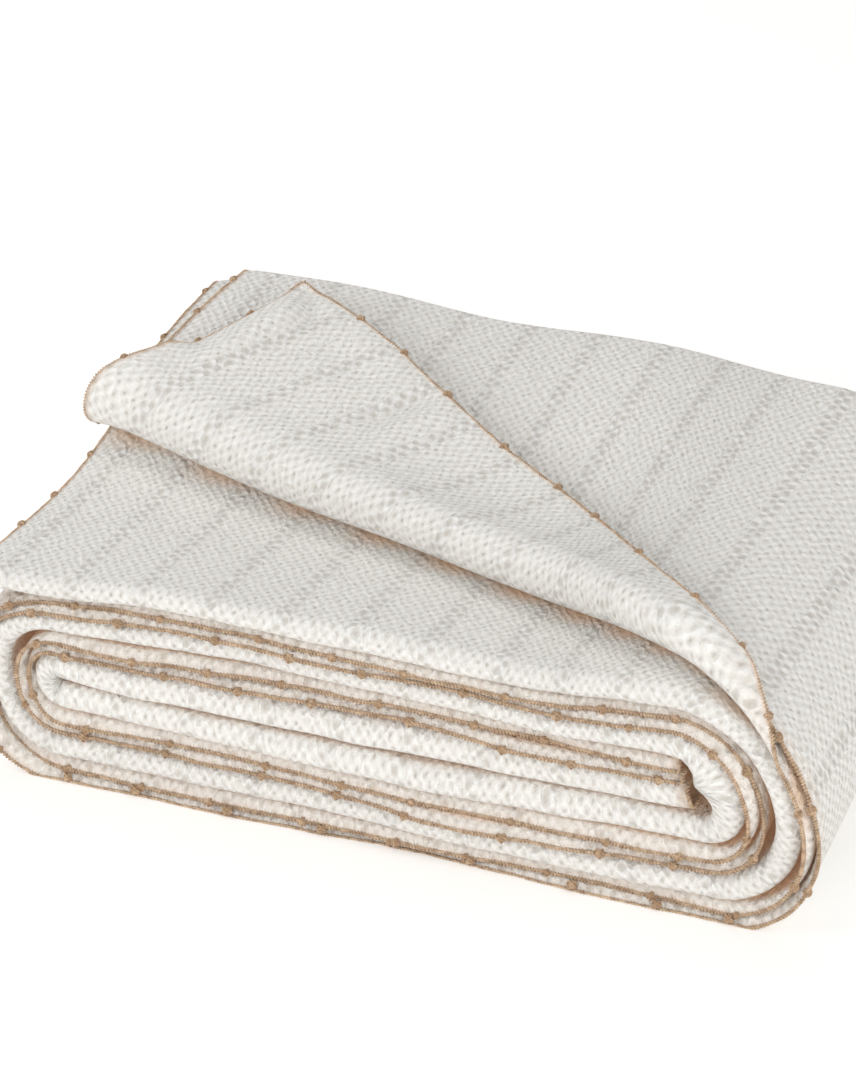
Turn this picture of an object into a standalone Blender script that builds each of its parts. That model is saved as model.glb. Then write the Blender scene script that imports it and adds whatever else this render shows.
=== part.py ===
"""Bedspread folded in four across its width, rolled flat over itself, one corner laid back.

Sizes are in millimetres in the functions and turned into metres when a mesh is made.
x runs along the roll's width, y from the front edges to the back folds, z up.
"""
import math

import bmesh
import bpy
import numpy as np

MM = 0.001

# cloth and the strip it is folded into
CLOTH_THICK = 3.5
LAYER_PITCH = 8.0
PLY_PITCH = 4 * LAYER_PITCH
STRIP_DEPTH = 370.0
BACK_RADIUS = 1.5 * LAYER_PITCH
BACK_Y = STRIP_DEPTH - BACK_RADIUS
FRONT_Y = 6.2
FRONT_PUFF = 4.5

# flat roll: centres of its turns and where the strip starts and ends
ROLL_LEFT = -116.0
ROLL_RIGHT = 284.0
TOP_LEFT = -140.0
INNER_END = 274.0
OUTER_END_BACK = -160.0
OUTER_END_FOLD = -180.0
OUTER_END_HEM = -186.0
FLOOR_SHIFT = CLOTH_THICK / 2 - 0.5 * LAYER_PITCH

# corner laid back over a soft roll
FLAP_HINGE_X = 389.0
FLAP_ANGLE = math.radians(17.4)
FLAP_DIP_X = 200.0
FLAP_DIP = 14.0
FLAP_RADIUS_RIGHT = 10.0
FLAP_RADIUS_LEFT = 16.5
FLAP_TUCK = 0.3
FLAP_REST = 16.0
PAIR_OFFSET = LAYER_PITCH

# rows of points across the strip
MIDDLE_ROWS = (85.0, 160.0, 240.0, BACK_Y)
ROLL_ROWS_MIN = 30.0

# yarn edging
YARN_RADIUS = 1.6
YARN_GAP = 0.7
TWIST_GAP = 1.6
KNOT_RADIUS = 3.1
KNOT_HALF_LENGTH = 4.2
KNOT_SPACING = 54.0

# the middle of the bundle's box, taken off so that the part stands on its own origin
CENTRE_X = 91.1
CENTRE_Y = 180.0

# path of the strip's middle from the inner end: kind, centre or level, radius, columns
PATH = (
    ("left", 2.5 * PLY_PITCH, INNER_END - ROLL_LEFT, 6),
    ("left_turn", 2.0 * PLY_PITCH, 0.5 * PLY_PITCH, 6),
    ("right", 1.5 * PLY_PITCH, ROLL_RIGHT - ROLL_LEFT, 6),
    ("right_turn", 2.5 * PLY_PITCH, 1.0 * PLY_PITCH, 7),
    ("left", 3.5 * PLY_PITCH, ROLL_RIGHT - ROLL_LEFT, 6),
    ("left_turn", 2.0 * PLY_PITCH, 1.5 * PLY_PITCH, 8),
    ("right", 0.5 * PLY_PITCH, ROLL_RIGHT - ROLL_LEFT, 6),
    ("right_turn", 2.5 * PLY_PITCH, 2.0 * PLY_PITCH, 14),
    ("left", 4.5 * PLY_PITCH, ROLL_RIGHT - TOP_LEFT, 9),
    ("left_turn", 2.0 * PLY_PITCH, 2.5 * PLY_PITCH, 2),
)


def ease(value):
    """Step from 0 to 1 with soft ends."""
    t = np.clip(value, 0.0, 1.0)
    return t * t * (3.0 - 2.0 * t)


def path_lengths():
    """Length of each row of PATH; a turn is half a circle."""
    return [size if "turn" not in kind else math.pi * size for kind, _, size, _ in PATH]


PATH_STARTS = np.concatenate([[0.0], np.cumsum(path_lengths())])
TOP_START = PATH_STARTS[8]
PAIR_RADIUS = 2.0 * PLY_PITCH + PAIR_OFFSET
END_RADIUS = 2.5 * PLY_PITCH + PAIR_OFFSET


def roll_point(along, offset):
    """x and z of points at a length along the strip's middle and an offset outward."""
    x = np.zeros(np.shape(along))
    z = np.zeros(np.shape(along))
    for row, (kind, level, size, _) in enumerate(PATH):
        start = PATH_STARTS[row]
        stop = PATH_STARTS[row + 1] if row + 1 < len(PATH) else np.inf
        inside = (along >= start) & ((along < stop) | (row + 1 == len(PATH)))
        run = along[inside] - start
        out = offset[inside]
        if kind == "left":
            first = INNER_END if row == 0 else ROLL_RIGHT
            x[inside], z[inside] = first - run, level + out
        elif kind == "right":
            x[inside], z[inside] = ROLL_LEFT + run, level - out
        else:
            side = 1.0 if kind == "right_turn" else -1.0
            angle = run / size
            centre = ROLL_RIGHT if side > 0 else (TOP_LEFT if row + 1 == len(PATH) else ROLL_LEFT)
            x[inside] = centre + side * (size + out) * np.sin(angle)
            z[inside] = level - side * (size + out) * np.cos(angle)
    return x, z


def spread_to_along(spread):
    """Length along the strip's middle for a place x on the top ply laid out flat."""
    on_turn = TOP_START - (spread - ROLL_RIGHT) * 2.0 * PLY_PITCH / PAIR_RADIUS
    on_top = TOP_START + ROLL_RIGHT - spread
    past = TOP_START + ROLL_RIGHT - TOP_LEFT + (TOP_LEFT - spread) * 2.5 * PLY_PITCH / END_RADIUS
    return np.where(spread > ROLL_RIGHT, on_turn, np.where(spread < TOP_LEFT, past, on_top))


def flap_radius(spread):
    """Radius of the soft roll, fuller toward the strip's free end."""
    return FLAP_RADIUS_RIGHT + (FLAP_RADIUS_LEFT - FLAP_RADIUS_RIGHT) * ease((340.0 - spread) / 420.0)


def fold_y(spread):
    """y of the slanting fold line; it dips toward the hem at the roll's right end."""
    dip = FLAP_DIP * (np.maximum(spread - FLAP_DIP_X, 0.0) / 130.0) ** 2
    return (FLAP_HINGE_X - spread) * math.tan(FLAP_ANGLE) - dip


def flap_start_y(spread):
    """y at which the top pair of layers starts to lift into the roll."""
    return fold_y(spread) + math.pi / 2 * flap_radius(spread) / math.cos(FLAP_ANGLE)


def lay_back(spread, y, offset):
    """Bend the top pair about the slanting line: a circle up and over, then a flat run back."""
    radius = flap_radius(spread)
    sin_a, cos_a = math.sin(FLAP_ANGLE), math.cos(FLAP_ANGLE)
    ahead = (fold_y(spread) - y) * cos_a + math.pi / 2 * radius
    turned = np.clip(ahead, 0.0, (math.pi + FLAP_TUCK) * radius)
    bend = turned / radius
    after = np.maximum(ahead - (math.pi + FLAP_TUCK) * radius, 0.0)
    settle_run = (radius * (1.0 + math.cos(FLAP_TUCK)) - FLAP_REST) / FLAP_TUCK
    settle_run = np.maximum(settle_run, 1.0)
    faded = 1.0 - np.exp(-after / settle_run)
    in_plane = np.minimum(ahead, 0.0) + radius * np.sin(bend) - after
    height = radius * (1.0 - np.cos(bend)) - FLAP_TUCK * settle_run * faded
    lean = np.where(after > 0.0, math.pi + FLAP_TUCK * (1.0 - faded), bend)
    in_plane = in_plane - np.sin(lean) * offset
    height = height + np.cos(lean) * offset
    shift = in_plane - ahead
    return spread - sin_a * shift, y - cos_a * shift, height


def settle(x, y, z):
    """Slump, sag and slow waves of soft cloth; everything fades to nothing at the floor."""
    full = np.maximum(z - 0.5 * LAYER_PITCH, 0.0) / 152.0
    front = 1.0 - ease(y / 240.0)
    left = ease((-10.0 - x) / 110.0)
    right_end = ease((x - 150.0) / 130.0)
    slumped = x - (0.30 - 0.08 * y / STRIP_DEPTH) * (z - 78.0) * right_end
    wave = 2.2 * np.sin(x / 41.0 + 0.4) * np.cos(y / 90.0)
    wave = wave + 1.2 * np.sin(x / 29.0 + z / 38.0 + y / 70.0)
    core = front * (7.5 * np.exp(-(((z - 98.0) / 36.0) ** 2)) + 3.0 * full)
    core = core + front * left * 5.0 * np.exp(-(((z - 82.0) / 34.0) ** 2))
    back_rise = 10.0 * ease((y - 140.0) / 190.0) * (1.0 - ease((x - 60.0) / 240.0))
    valley = -14.0 * np.exp(-(((y - 140.0) / 85.0) ** 2)) * (1.0 - ease((x - 60.0) / 260.0))
    droop = -10.0 * front * ease((-30.0 - x) / 120.0)
    lifted = z + core * ease(6.0 * full) + full * (back_rise + full * valley + full * droop + wave)
    push_front = 2.6 * (1.0 - ease(y / 160.0)) * np.sin(z / 14.0 + x / 70.0)
    belly = -6.0 * (1.0 - ease(y / 200.0))
    belly = belly * np.exp(-(((x - 110.0) / 150.0) ** 2) - (z / 60.0) ** 2)
    push_back = 3.0 * ease((y - 230.0) / 120.0) * np.sin(x / 60.0 + z / 40.0)
    return slumped, y + push_front + belly + push_back, lifted


def hem_rows(start, dense):
    """y places on a hem layer from its edge to the back; dense rows crowd into the roll."""
    if not dense:
        return np.array([0.0, 30.0, *MIDDLE_ROWS])
    begin = max(flap_start_y(start), ROLL_ROWS_MIN)
    roll_step = min(math.pi * flap_radius(start) / 6.0 / math.cos(FLAP_ANGLE), begin / 9.0)
    roll_end = begin - 6.0 * roll_step
    flap = roll_end * np.array([0.0, 1.0, 2.0]) / 3.0
    roll = begin - roll_step * np.arange(6, -1, -1)
    back = begin + (BACK_Y - begin) * np.array([0.35, 0.7, 1.0])
    return np.concatenate([flap, roll, back])


def front_swell(y, puff):
    """How far the layers of the front fold part just behind it."""
    return (1.2 + puff) * np.exp(-(y - FRONT_Y) / 45.0)


def half_circle(centre_y, centre_o, radius, first, last, steps):
    """Points inside a half turn in the y and offset plane, ends left out."""
    angle = np.radians(np.linspace(first, last, steps + 1)[1:-1])
    return centre_y + radius * np.cos(angle), centre_o + radius * np.sin(angle)


def section(start, puff, dense):
    """One back-and-forth section of four layers: y, outward offset and layer number, 0 in a fold."""
    hem = hem_rows(start, dense)
    middle = np.array([FRONT_Y, *MIDDLE_ROWS])
    low = -1.5 * LAYER_PITCH
    inner = 0.5 * LAYER_PITCH
    third = -inner + front_swell(middle, puff)
    fourth = np.full(middle.shape, low)
    fold_radius = (third[0] - low) / 2
    parts = (
        (hem, np.full(hem.shape, 1.5 * LAYER_PITCH), 1),
        (*half_circle(BACK_Y, 0.0, BACK_RADIUS, 90.0, -90.0, 6), 0),
        (middle[::-1], fourth[::-1], 4),
        (*half_circle(FRONT_Y, low + fold_radius, fold_radius, -90.0, -270.0, 4), 0),
        (middle, third, 3),
        (*half_circle(BACK_Y, 0.0, inner, -90.0, 90.0, 4), 0),
        (hem[::-1], np.full(hem.shape, inner), 2),
    )
    y = np.concatenate([part[0] for part in parts])
    offset = np.concatenate([part[1] for part in parts])
    layer = np.concatenate([np.full(len(part[0]), part[2]) for part in parts])
    return y, offset, layer


def top_spread(fraction, y, hem_layer):
    """Place on the top ply laid flat; the free end is cut a little askew."""
    front_end = np.where(hem_layer, OUTER_END_HEM, OUTER_END_FOLD)
    end = OUTER_END_BACK + (front_end - OUTER_END_BACK) * (1.0 - y / STRIP_DEPTH)
    return ROLL_RIGHT + fraction * (end - ROLL_RIGHT)


def hem_wander(along, offset):
    """Slight unevenness of the two hem edges along the strip."""
    return 2.0 * np.sin(along / 63.0 + offset) + 1.3 * np.sin(along / 29.0 + 2.0 * offset)


def column(along, fraction):
    """One column across the strip: points, flat y and layer; fraction is set on the top ply alone."""
    on_top = fraction is not None
    dense = on_top or along > PATH_STARTS[7] - 1.0
    if on_top:
        nominal = ROLL_RIGHT + fraction * (OUTER_END_FOLD - ROLL_RIGHT)
    else:
        nominal = ROLL_RIGHT + (TOP_START - along) * PAIR_RADIUS / (2.0 * PLY_PITCH)
    puff = FRONT_PUFF * float(ease((230.0 - nominal) / 120.0)) if dense else 0.0
    flat_y, offset, layer = section(nominal, puff, dense)
    hem_layer = (layer == 1) | (layer == 2)
    if on_top:
        spread = top_spread(fraction, flat_y, hem_layer)
        lengths = spread_to_along(spread)
    else:
        spread = np.full(flat_y.shape, nominal)
        lengths = np.full(flat_y.shape, along)
    y = flat_y + hem_layer * (1.0 - ease(flat_y / 60.0)) * hem_wander(lengths, offset)
    x, z = roll_point(lengths, offset)
    if dense:
        bent_spread, bent_y, height = lay_back(spread, y, offset - PAIR_OFFSET)
        bent_x, bent_z = roll_point(spread_to_along(bent_spread), PAIR_OFFSET + height)
        x, y, z = (np.where(hem_layer, a, b) for a, b in ((bent_x, x), (bent_y, y), (bent_z, z)))
    x, y, z = settle(x, y, z)
    points = np.stack([x - CENTRE_X, y - CENTRE_Y, z + FLOOR_SHIFT], axis=1)
    return points, flat_y, layer


def cloth_columns():
    """All columns from the inner end of the strip to its free end."""
    columns = []
    for row, (_, _, _, count) in enumerate(PATH[:8]):
        steps = np.linspace(PATH_STARTS[row], PATH_STARTS[row + 1], count + 1)
        columns += [column(along, None) for along in steps[:-1]]
    count = PATH[8][3] + PATH[9][3]
    columns += [column(None, fraction) for fraction in np.linspace(0.0, 1.0, count + 1)]
    return columns


def matching_rows(sparse, dense):
    """For each row of a sparse column, its row in a dense one; both have the same middle."""
    spread = [0, 5, 9, 10, 11, 12]
    between = [13 + step for step in range(sparse - 12)]
    return spread + between + [dense - 1 - step for step in reversed(spread)]


def strip_faces(first, second):
    """Faces between two neighbouring columns, given as lists of vertex numbers."""
    if len(first) == len(second):
        return [(first[i], first[i + 1], second[i + 1], second[i]) for i in range(len(first) - 1)]
    rows = matching_rows(len(first), len(second))
    faces = []
    for i in range(len(first) - 1):
        fan = [second[k] for k in range(rows[i], rows[i + 1] + 1)]
        faces += [(first[i], fan[k + 1], fan[k]) for k in range(len(fan) - 1)]
        faces.append((first[i], first[i + 1], fan[-1]))
    return faces


def mesh_object(name, points, faces, colour, collection):
    """Object from points in millimetres and faces, with its own material."""
    mesh = bpy.data.meshes.new(name)
    mesh.from_pydata([tuple(point * MM) for point in points], [], faces)
    body = bpy.data.objects.new(name, mesh)
    collection.objects.link(body)
    material = bpy.data.materials.new(name)
    material.use_nodes = True
    shader = material.node_tree.nodes["Principled BSDF"]
    shader.inputs["Base Color"].default_value = (*colour, 1.0)
    shader.inputs["Roughness"].default_value = 0.9
    mesh.materials.append(material)
    return body


def outward_normals(body):
    """Turn all faces of a closed body outward."""
    work = bmesh.new()
    work.from_mesh(body.data)
    bmesh.ops.recalc_face_normals(work, faces=work.faces)
    work.to_mesh(body.data)
    work.free()


def build_cloth(columns, collection):
    """The folded cloth: one open surface thickened to a closed sheet."""
    points = [column[0] for column in columns]
    starts = np.cumsum([0] + [len(column) for column in points])
    numbers = [list(range(start, stop)) for start, stop in zip(starts[:-1], starts[1:])]
    faces = []
    for first, second in zip(numbers[:-1], numbers[1:]):
        faces += strip_faces(first, second)
    body = mesh_object("cloth", np.concatenate(points), faces, (0.76, 0.74, 0.69), collection)
    sheet = body.modifiers.new("thickness", "SOLIDIFY")
    sheet.thickness = CLOTH_THICK * MM
    sheet.offset = 0.0
    sheet.use_even_offset = True
    return body


def unit(vectors):
    """Vectors of length one."""
    return vectors / np.linalg.norm(vectors, axis=-1, keepdims=True)


def side_outs(places, inner):
    """Way out of the cloth along one side, square to that side."""
    along = unit(np.gradient(places, axis=0))
    raw = places - inner
    return unit(raw - along * np.sum(raw * along, axis=1, keepdims=True))


def side_of(nodes, marks, layers):
    """Places, ways out, marks and layers of one side from pairs of edge and inner points."""
    places, inner = (np.array([pair[k] for pair in nodes]) for k in (0, 1))
    return places, side_outs(places, inner), np.array(marks), np.array(layers)


def edge_sides(columns):
    """The four sides of the cloth in order round its edge; marks set where knots sit."""
    points = [column[0] for column in columns]
    hem_steps = np.linalg.norm(np.diff([p[0] for p in points], axis=0), axis=1)
    hem_marks = np.concatenate([[0.0], np.cumsum(hem_steps)])
    _, free_y, free_layer = columns[-1]
    _, inner_y, inner_layer = columns[0]
    ones = np.full(len(points), 1)
    return (
        side_of([(p[0], p[1]) for p in points], hem_marks, ones),
        side_of(list(zip(points[-1], points[-2])), free_y, free_layer),
        side_of([(p[-1], p[-2]) for p in points[::-1]], hem_marks[::-1], 2 * ones),
        side_of(list(zip(points[0], points[1]))[::-1], inner_y[::-1], inner_layer[::-1]),
    )


def knot_shares(mark, next_mark, layer, length):
    """Where knots sit on one stretch, staggered between neighbouring layers."""
    room = (KNOT_HALF_LENGTH + 1.5) / length
    if layer == 0 or room >= 0.5:
        return []
    phase = KNOT_SPACING * (0.5 if layer in (1, 3) else 0.0)
    low, high = sorted((mark, next_mark))
    first = math.ceil((low - phase) / KNOT_SPACING)
    targets = np.arange(phase + first * KNOT_SPACING, high, KNOT_SPACING)
    targets = targets + 7.0 * np.sin(targets / 31.0)
    return sorted(min(max((target - mark) / (next_mark - mark), room), 1.0 - room) for target in targets)


def edging_rings(sides):
    """Place, way out, radius and gap of every ring of the yarn round the closed loop."""
    rows = []
    for index, (place, out, mark, layer) in enumerate(sides):
        twist = np.linalg.norm(np.diff(out, axis=0), axis=1)
        out = out.copy()
        out[0] = unit(out[0] + sides[index - 1][1][-1]) * math.sqrt(2.0)
        out[-1] = unit(out[-1] + sides[(index + 1) % len(sides)][1][0]) * math.sqrt(2.0)
        for i in range(len(place) - 1):
            stops = [(0.0, YARN_RADIUS)]
            length = float(np.linalg.norm(place[i + 1] - place[i]))
            flat = layer[i] if layer[i] == layer[i + 1] else 0
            for share in knot_shares(mark[i], mark[i + 1], flat, length):
                reach = KNOT_HALF_LENGTH / length
                stops += [(share - reach, YARN_RADIUS), (share, KNOT_RADIUS), (share + reach, YARN_RADIUS)]
            for share, size in stops:
                middle = place[i] * (1 - share) + place[i + 1] * share
                blend = out[i] * (1 - share) + out[i + 1] * share
                sizes = np.linalg.norm(out[i]), np.linalg.norm(out[i + 1])
                way = unit(blend) * (sizes[0] * (1 - share) + sizes[1] * share)
                rows.append((*middle, *way, size, YARN_GAP + TWIST_GAP * twist[i]))
    table = np.array(rows)
    return table[:, :3], table[:, 3:6], table[:, 6], table[:, 7]


def build_edging(columns, collection):
    """Yarn whipped round the whole edge, one closed ring with a knot every few centimetres."""
    places, outs, radii, gaps = edging_rings(edge_sides(columns))
    centres = places + outs * (gaps + radii)[:, None]
    centres[:, 2] = np.maximum(centres[:, 2], radii + 0.2)
    along = unit(np.roll(centres, -1, axis=0) - np.roll(centres, 1, axis=0))
    across = unit(outs - along * np.sum(outs * along, axis=1, keepdims=True))
    up = np.cross(along, across)
    size = radii[:, None]
    rings = [centres + across * size, centres + up * size, centres - across * size, centres - up * size]
    points = np.stack(rings, axis=1).reshape(-1, 3)
    total = len(centres)
    faces = []
    for ring in range(total):
        here, there = 4 * ring, 4 * ((ring + 1) % total)
        faces += [(here + k, there + k, there + (k + 1) % 4, here + (k + 1) % 4) for k in range(4)]
    body = mesh_object("edging", points, faces, (0.45, 0.30, 0.17), collection)
    outward_normals(body)
    return body


def main():
    for thing in list(bpy.data.objects):
        bpy.data.objects.remove(thing, do_unlink=True)
    collection = bpy.data.collections.new("bedspread")
    bpy.context.scene.collection.children.link(collection)
    columns = cloth_columns()
    build_cloth(columns, collection)
    build_edging(columns, collection)


main()
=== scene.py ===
"""Looks of a bedspread folded in four across its width, rolled flat, one corner laid back.

The folds are worked out in millimetres: x along the roll's width, y from the front edges to
the back folds, z up. Meshes are in metres, in the part's own frame.
"""

import math

import bpy
import numpy as np
from mathutils import Matrix, Vector


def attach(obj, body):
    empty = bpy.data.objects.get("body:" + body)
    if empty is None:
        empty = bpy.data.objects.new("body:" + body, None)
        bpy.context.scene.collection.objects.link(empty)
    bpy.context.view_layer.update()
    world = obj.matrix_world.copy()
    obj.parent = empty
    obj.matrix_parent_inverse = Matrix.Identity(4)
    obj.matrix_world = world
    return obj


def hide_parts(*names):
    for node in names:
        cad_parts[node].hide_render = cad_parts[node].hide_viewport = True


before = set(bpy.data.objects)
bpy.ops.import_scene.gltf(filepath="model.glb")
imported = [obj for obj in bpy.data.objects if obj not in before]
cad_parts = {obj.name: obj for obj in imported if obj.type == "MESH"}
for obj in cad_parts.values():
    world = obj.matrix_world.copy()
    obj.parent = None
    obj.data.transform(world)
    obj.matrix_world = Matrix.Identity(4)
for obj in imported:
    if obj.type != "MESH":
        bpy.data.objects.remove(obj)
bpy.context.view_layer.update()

bl_info = {
    "name": "Rolled bedspread",
    "version": (1, 0, 0),
    "blender": (4, 5, 0),
    "location": "View3D > Sidebar > Bedspread",
    "description": "A folded and rolled woven bedspread with a knotted yarn edging",
    "category": "Object",
}

MM = 0.001
MM_IN_METRE = 1000

# the strip that the cloth is folded into
LAYER_PITCH = 8.0
PLY_PITCH = 4 * LAYER_PITCH
STRIP_DEPTH = 370.0
BACK_RADIUS = 1.5 * LAYER_PITCH
BACK_Y = STRIP_DEPTH - BACK_RADIUS
FRONT_Y = 6.2
INNER_PUFF = 2.6
TOP_PUFF = 4.5

# how the two hems lie against the folds above and below: how high each edge sits, how high the
# cloth just behind it puffs up, how far each of them then moves where the strip is upside down,
# how far back the puff and the edge reach, and over what run they return to the plain layers
HEM_STEP = 1.5
UPPER_HEM = -2.9
LOWER_HEM = -1.45
HEM_PUFF = 2.1
HEM_SHIFT = 1.9
HEM_PUFF_REACH = 32.0
HEM_EDGE_REACH = 3.2
HEM_RETURN = 60.0

# on a turn the hem nearer the photograph's left stands further out and its cloth puffs up
# against the other one
TURN_STEP = 2.4
TURN_PUFF = 5.0

# the fold fills the hollow of the innermost right turn: how far in, along and back it reaches,
# and how far above the turn's middle it is fullest
CORE_FILL = 14.5
CORE_REACH = 29.0
CORE_DEPTH = 110.0
CORE_RISE = 12.0

# the two folds that face each other in the roll's middle press together: how much, how far back
CREASE_FILL = 1.7
CREASE_DEPTH = 45.0

# flat roll: centres of its turns and where the strip starts and ends
ROLL_LEFT = -116.0
ROLL_RIGHT = 284.0
TOP_LEFT = -140.0
INNER_END = 274.0
INNER_REACH = 8.0
OUTER_END_BACK = -160.0
OUTER_END_FOLD = -180.0
OUTER_END_HEM = -186.0
SECOND_HEM_SHORT = 3.5
TOP_LAYER_SET_BACK = 22.0
SOLID_THICK = 3.5
FLOOR_SHIFT = SOLID_THICK / 2 - 0.5 * LAYER_PITCH

# corner laid back over a soft roll
FLAP_HINGE_X = 389.0
FLAP_ANGLE = math.radians(17.4)
FLAP_DIP_X = 200.0
FLAP_DIP = 14.0
FLAP_DIP_RUN = 130.0
FLAP_RADIUS_RIGHT = 10.0
FLAP_RADIUS_LEFT = 16.5
FLAP_FULLER_FROM = 340.0
FLAP_FULLER_RUN = 420.0
FLAP_TUCK = 0.3
FLAP_REST = 16.0
PAIR_OFFSET = LAYER_PITCH

# slump, sag and slow waves of the soft bundle: the height at which they are full, the share that
# the right end slumps, and how far each of the others moves the cloth
FULL_HEIGHT = 152.0
SLUMP = 0.30
LONG_WAVE = 2.2
SHORT_WAVE = 1.2
MIDDLE_LIFT = 7.5
LEFT_LIFT = 5.0
BACK_RISE = 10.0
VALLEY = -14.0
LEFT_DROOP = -10.0
FRONT_PUSH = 2.6
BELLY = -6.0
BACK_PUSH = 3.0

# how far the front edges stray: hems slowly, hems quickly, the rounded fold
HEM_STRAY = 2.0
HEM_QUICK_STRAY = 0.7
FOLD_STRAY = 1.1

# the middle of the bundle's box
CENTRE_X = 91.1
CENTRE_Y = 180.0

# path of the strip's middle from the inner end: kind, centre or level, radius or length, step
PATH = (
    ("left", 2.5 * PLY_PITCH, INNER_END - ROLL_LEFT, 9.0),
    ("left_turn", 2.0 * PLY_PITCH, 0.5 * PLY_PITCH, 3.6),
    ("right", 1.5 * PLY_PITCH, ROLL_RIGHT - ROLL_LEFT, 9.0),
    ("right_turn", 2.5 * PLY_PITCH, 1.0 * PLY_PITCH, 5.0),
    ("left", 3.5 * PLY_PITCH, ROLL_RIGHT - ROLL_LEFT, 9.0),
    ("left_turn", 2.0 * PLY_PITCH, 1.5 * PLY_PITCH, 7.0),
    ("right", 0.5 * PLY_PITCH, ROLL_RIGHT - ROLL_LEFT, 9.0),
    ("right_turn", 2.5 * PLY_PITCH, 2.0 * PLY_PITCH, 5.0),
    ("left", 4.5 * PLY_PITCH, ROLL_RIGHT - TOP_LEFT, 4.5),
    ("left_turn", 2.0 * PLY_PITCH, 2.5 * PLY_PITCH, 4.5),
)
PATH_LENGTHS = [size if "turn" not in kind else math.pi * size for kind, _, size, _ in PATH]
PATH_STARTS = np.concatenate([[0.0], np.cumsum(PATH_LENGTHS)])
TOP_START = PATH_STARTS[8]
PAIR_RADIUS = 2.0 * PLY_PITCH + PAIR_OFFSET
END_RADIUS = 2.5 * PLY_PITCH + PAIR_OFFSET

# rows of points across the cloth
FLAP_ROWS = 20
ROLL_ROWS = 11
BACK_ROWS = 8
THIRD_LAYER_ROWS = 20
FOURTH_LAYER_ROWS = 9
OUTER_TURN_ROWS = 8
INNER_TURN_ROWS = 4
FRONT_FOLD_ROWS = 9

# creases on the laid-back corner: start x, y, end x, y, half width, height
CREASES = (
    (-108.0, 212.0, -68.0, 300.0, 10.0, 6.0),
    (52.0, 222.0, 22.0, 160.0, 11.0, 3.6),
    (38.0, 236.0, 12.0, 196.0, 8.0, -4.6),
    (-74.0, 318.0, -60.0, 276.0, 8.0, -4.6),
    (-60.0, 150.0, 60.0, 96.0, 16.0, 2.6),
    (-40.0, 262.0, 0.0, 232.0, 12.0, -2.6),
)
# the corner's cut end curls down beyond this line: start x, y, end x, y, fade, drop; the
# upper of its two layers drops further, onto the lower one
END_CURL = (-127.0, 226.0, -86.0, 322.0, 11.0, 5.0)
UPPER_DROP = 4.5


# painted warm shade deep between the layers: how far behind an edge it starts and over what run it
# deepens, how far before the top ply its layers count as lit, and its second layer, how strongly the
# cloth is painted at its edges with the stitches' tan and painted shade, and along the hem with painted
# crease shade, how far in the hem's painted shade reaches and over what run it fades, and how far in
# the hem's taper reaches
PAINTED_SHADE_FROM = 3.0
PAINTED_SHADE_FADE = 7.5
TOP_LIT_LEAD = 60.0
SECOND_LIT_LEAD = 125.0
STITCH_TAN_AND_SHADE = 0.55
HEM_PAINTED_SHADE = 0.12
HEM_SHADE_REACH = 13.0
HEM_SHADE_FADE = 6.0
HEM_TAPER = 9.0

# the weave's stripes: width of a fat column, length of its bumps, slant and place
STRIPE_COLUMN = 4.6
STRIPE_BUMP = 4.6
STRIPE_SKEW = 0.027
STRIPE_PHASE = 0.5

# how far the weave's yarns stray from a straight line, along and across the cloth
STRAY_ALONG = 4.4
STRAY_ACROSS = 10.0

# sizes in the weave, as patches in a millimetre: the yarns stray over about 11 mm, slubs are 3
# by 18 mm, clumps 5 mm, grain 2 mm, strands 1.2 by 3.3 mm and fuzz 0.6 mm, which is coarser than
# real fuzz, because that is too fine to show
STRAY_SCALE = 0.09
SLUB_SCALE = (0.34, 0.055, 1.0)
CLUMP_SCALE = 0.21
GRAIN_SCALE = 0.55
STRAND_SCALE = (0.85, 0.3, 1.0)
FUZZ_SCALE = 1.6

# the edging's yarn: one turn of its own twist, its patches of tone 4 mm apart and its fluff
# 0.5 mm apart, both as a count in a metre, how much darker a knot is and how high the twist is
TWIST_LENGTH = 1.7
PATCH_SCALE = 260.0
FLUFF_SCALE = 2200.0
KNOT_DARKER = -0.14
TWIST_HEIGHT = 0.00025

# whip stitches: points in a turn, how far they reach out, rise over the edge and stand off, and
# how unevenly they turn, reach and rise
STITCH_POINTS = 8
STITCH_REACH = 1.3
STITCH_RISE = 1.0
EDGE_SHIFT = 0.2
TURN_STRAY = 1.1
REACH_STRAY = 0.26
RISE_STRAY = 0.2

# the yarn laid in under the stitches: radius and how much further it stands off; the count of
# sides of every yarn
CORE_RADIUS = 0.5
CORE_SHIFT = 0.2
YARN_SIDES = 6

# knots: turns of the yarn as tilt, roll and size, how much thicker it is, points in a turn, how
# much further out they sit, how far their places and sizes stray, and how far from a side's end
# the last one may sit
KNOT_TURNS = ((0.0, 0.3, 1.0), (0.7, -0.5, 0.92), (1.4, 0.5, 1.06), (2.1, -0.3, 0.96), (2.7, 0.8, 0.88))
KNOT_YARN = 1.25
KNOT_POINTS = 12
KNOT_SHIFT = 0.3
KNOT_STRAY = 7.0
KNOT_SIZE_STRAY = 0.13
KNOT_MARGIN = 5.0

# where the first knot sits on each side, in millimetres from its start
FIRST_KNOTS = {"hem_outer": 27.0, "end_free": 27.0, "hem_inner": 54.0, "end_inner": 27.0}

# floor, camera and lights, in metres and radians
FLOOR_HALF = 4.0
CAMERA_TURN = math.radians(20.0)
CAMERA_DOWN = math.radians(32.0)
CAMERA_TARGET = (-0.0911, 0.1581, 0.0)
CAMERA_DISTANCE = 2.829
CAMERA_REACH = 50.0
LEFT_PLACE = (-1.8, -0.9, 0.9)
RIGHT_PLACE = (1.8, -0.7, 1.0)
FRONT_PLACE = (0.3, -2.2, 0.95)
TOP_PLACE = (-0.7, 1.0, 2.2)
LIGHT_SIZE = 1.2


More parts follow.
